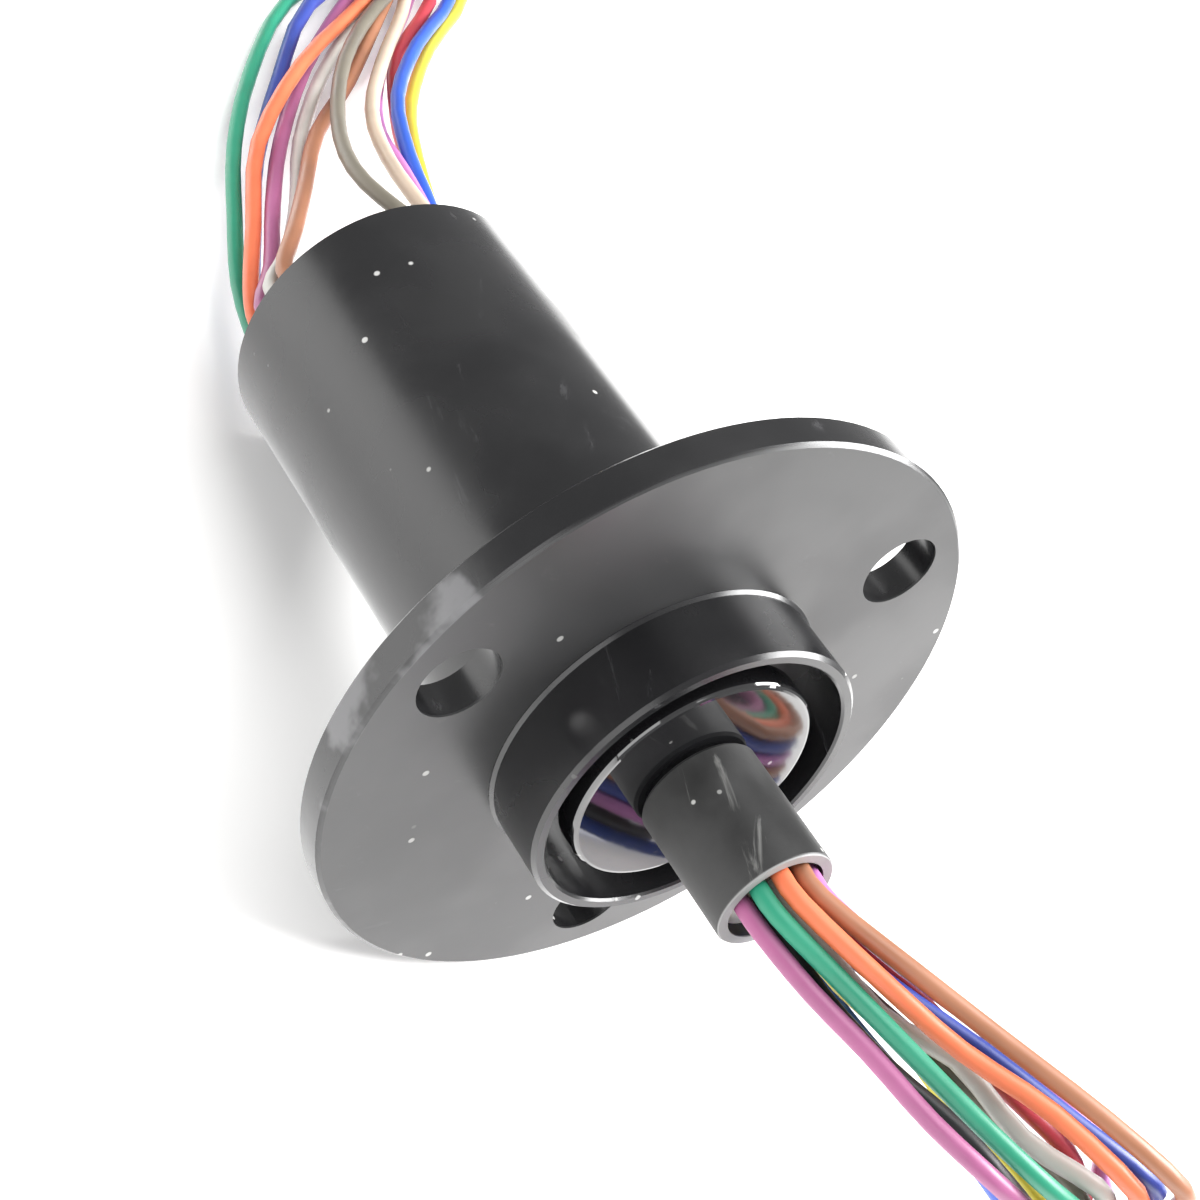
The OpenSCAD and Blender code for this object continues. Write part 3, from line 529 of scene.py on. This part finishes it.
rough = combine(tree, "ADD", rough, combine(tree, "MULTIPLY", marks.outputs["Scuffs"], 0.25))
rough = combine(tree, "ADD", rough, combine(tree, "MULTIPLY", marks.outputs["Dust"], 0.4))
tree.links.new(rough, skin.inputs["Roughness"])
height = combine(tree, "ADD", grain.outputs["Height"],
                 combine(tree, "MULTIPLY", marks.outputs["Dust"], 1.5))
bump_from(tree, skin, height, 0.12, 0.00004)
give("housing", gloss_black)


# ---- Rotor cap ----
# A separate turned-down disc pressed over the stem, polished to a mirror, with a small
# round over its front edge.
mirror_black, tree, skin = new_finish("polished_black_disc", 0.05, IOR=2.0)
grain = place_group(tree, plastic_grain, scale=500.0)
marks = place_group(tree, wear, dust=0.5, scuffs=0.12, scale=300.0)
body = tint(tree, grain.outputs["Cloud"], (0.008, 0.008, 0.009), (0.014, 0.014, 0.015))
body = tint(tree, marks.outputs["Dust"], body, (0.6, 0.6, 0.58))
tree.links.new(body, skin.inputs["Base Color"])
tree.links.new(combine(tree, "ADD", ramp(tree, grain.outputs["Cloud"], 0, 1, 0.03, 0.07),
                       combine(tree, "MULTIPLY", marks.outputs["Scuffs"], 0.4)),
               skin.inputs["Roughness"])
bump_from(tree, skin, grain.outputs["Cloud"], 0.03, 0.0001)
give("rotor_cap", mirror_black)


# ---- Shrink sleeve ----
# Heat-shrunk black tube over the stem. It is matte, smudged with pale glue dust, and its
# cut edge shows lighter.
shrink, tree, skin = new_finish("matte_shrink_tube", 0.6)
grain = place_group(tree, plastic_grain, scale=1100.0)
marks = place_group(tree, wear, dust=0.8, scuffs=1.0, scale=330.0)
place = place_group(tree, spin_place)
cut_edge = ramp(tree, place.outputs["Height"], 16.28, 16.36)
body = tint(tree, grain.outputs["Cloud"], (0.014, 0.014, 0.014), (0.050, 0.050, 0.050))
body = tint(tree, marks.outputs["Scuffs"], body, (0.16, 0.16, 0.155))
body = tint(tree, cut_edge, body, (0.30, 0.30, 0.30))
body = tint(tree, marks.outputs["Dust"], body, (0.6, 0.6, 0.58))
tree.links.new(body, skin.inputs["Base Color"])
tree.links.new(ramp(tree, grain.outputs["Cloud"], 0, 1, 0.48, 0.68), skin.inputs["Roughness"])
bump_from(tree, skin, combine(tree, "ADD", grain.outputs["Height"], grain.outputs["Cloud"]),
          0.3, 0.00006)
give("stem_sleeve", shrink)


# ---- Glue plug ----
# Clear-drying glue that pots the leads just inside the mouth of the stem. It has crept
# up the wall and dried whitish.
glue, tree, skin = new_finish("dried_glue", 0.35)
grain = place_group(tree, plastic_grain, scale=1600.0)
tree.links.new(tint(tree, grain.outputs["Cloud"], (0.42, 0.41, 0.38), (0.75, 0.74, 0.70)),
               skin.inputs["Base Color"])
tree.links.new(ramp(tree, grain.outputs["Cloud"], 0, 1, 0.25, 0.55), skin.inputs["Roughness"])
bump_from(tree, skin, grain.outputs["Cloud"], 0.5, 0.0001)
give("stem_glue", glue)


# ---- Rotor core, spacers, frame and rear cap ----
# Plain satin mouldings inside the barrel, and the recessed cap that closes its rear end.
satin_black, tree, skin = new_finish("satin_black_moulding", 0.45)
grain = place_group(tree, plastic_grain, scale=900.0)
marks = place_group(tree, wear, dust=0.4, scuffs=0.3, scale=260.0)
body = tint(tree, grain.outputs["Cloud"], (0.016, 0.016, 0.017), (0.026, 0.026, 0.027))
body = tint(tree, marks.outputs["Scuffs"], body, (0.09, 0.09, 0.09))
tree.links.new(body, skin.inputs["Base Color"])
tree.links.new(ramp(tree, grain.outputs["Cloud"], 0, 1, 0.36, 0.5), skin.inputs["Roughness"])
bump_from(tree, skin, grain.outputs["Height"], 0.2, 0.00005)
for node in ("rotor_core", "ring_spacers", "brush_frame", "rear_cap"):
    give(node, satin_black)


# ---- Bearings and clip ----
# Hardened steel races and balls, ground and polished, with a film of oil; the ball cages
# are pressed brass and the clip is spring steel.
bright_steel, tree, skin = new_finish("ground_steel", 0.2, Metallic=1.0)
grain = place_group(tree, plastic_grain, scale=600.0)
tree.links.new(tint(tree, grain.outputs["Cloud"], (0.50, 0.51, 0.53), (0.66, 0.67, 0.69)),
               skin.inputs["Base Color"])
tree.links.new(ramp(tree, grain.outputs["Cloud"], 0, 1, 0.14, 0.28), skin.inputs["Roughness"])
bump_from(tree, skin, grain.outputs["Height"], 0.1, 0.00003)
for node in ("front_outer_race", "front_inner_race", "front_balls", "rear_outer_race",
             "rear_inner_race", "rear_balls", "rotor_clip"):
    give(node, bright_steel)

cage_brass, tree, skin = new_finish("pressed_brass", 0.35, Metallic=1.0)
grain = place_group(tree, plastic_grain, scale=800.0)
tree.links.new(tint(tree, grain.outputs["Cloud"], (0.55, 0.38, 0.14), (0.74, 0.55, 0.24)),
               skin.inputs["Base Color"])
tree.links.new(ramp(tree, grain.outputs["Cloud"], 0, 1, 0.28, 0.45), skin.inputs["Roughness"])
bump_from(tree, skin, grain.outputs["Height"], 0.15, 0.00004)
for node in ("front_ball_cage", "rear_ball_cage"):
    give(node, cage_brass)


# ---- Contact rings and brush wires ----
# Gold-plated brass rings, each with a V-groove, and hard gold-alloy wires that run in them.
gold, tree, skin = new_finish("hard_gold", 0.2, Metallic=1.0)
grain = place_group(tree, plastic_grain, scale=1500.0)
tree.links.new(tint(tree, grain.outputs["Cloud"], (0.80, 0.52, 0.16), (0.95, 0.68, 0.27)),
               skin.inputs["Base Color"])
tree.links.new(ramp(tree, grain.outputs["Cloud"], 0, 1, 0.12, 0.26), skin.inputs["Roughness"])
bump_from(tree, skin, grain.outputs["Height"], 0.1, 0.00002)
for node in ("contact_rings", "brush_wires_a", "brush_wires_b"):
    give(node, gold)


# ---- Brush boards ----
# Glass-fibre circuit boards under green solder resist, with the cloth faintly showing.
resist, tree, skin = new_finish("green_solder_resist", 0.3, Coat_Weight=0.4)
grain = place_group(tree, plastic_grain, scale=700.0)
here = add_node(tree, "ShaderNodeTexCoord").outputs["Object"]
cloth = add_node(tree, "ShaderNodeTexWave", {"Scale": 900.0, "Distortion": 0.4}, {"Vector": here},
                 bands_direction="X")
body = tint(tree, grain.outputs["Cloud"], (0.006, 0.09, 0.035), (0.012, 0.15, 0.06))
body = tint(tree, ramp(tree, cloth.outputs["Fac"], 0.4, 0.9, 0.0, 0.25), body, (0.05, 0.24, 0.10))
tree.links.new(body, skin.inputs["Base Color"])
tree.links.new(ramp(tree, grain.outputs["Cloud"], 0, 1, 0.22, 0.4), skin.inputs["Roughness"])
bump_from(tree, skin, cloth.outputs["Fac"], 0.2, 0.00004)
for node in ("brush_board_a", "brush_board_b"):
    give(node, resist)


# ---- Lead ends inside ----
# The short stretches of lead between the caps and the boards or rings. The insulation is
# grey here; the bare tinned copper cores get the same grey finish.
for node in ("rotor_lead_roots", "stator_lead_roots"):
    give(node, insulations["grey"])


# ---- Coil ties ----
# A short plastic-covered wire twisted round each coil of leads.
give("rotor_tie", satin_black)
give("stator_tie", satin_black)


# ---- View settings ----
# Plain view.
settings = bpy.context.scene.view_settings
settings.view_transform = "Standard"
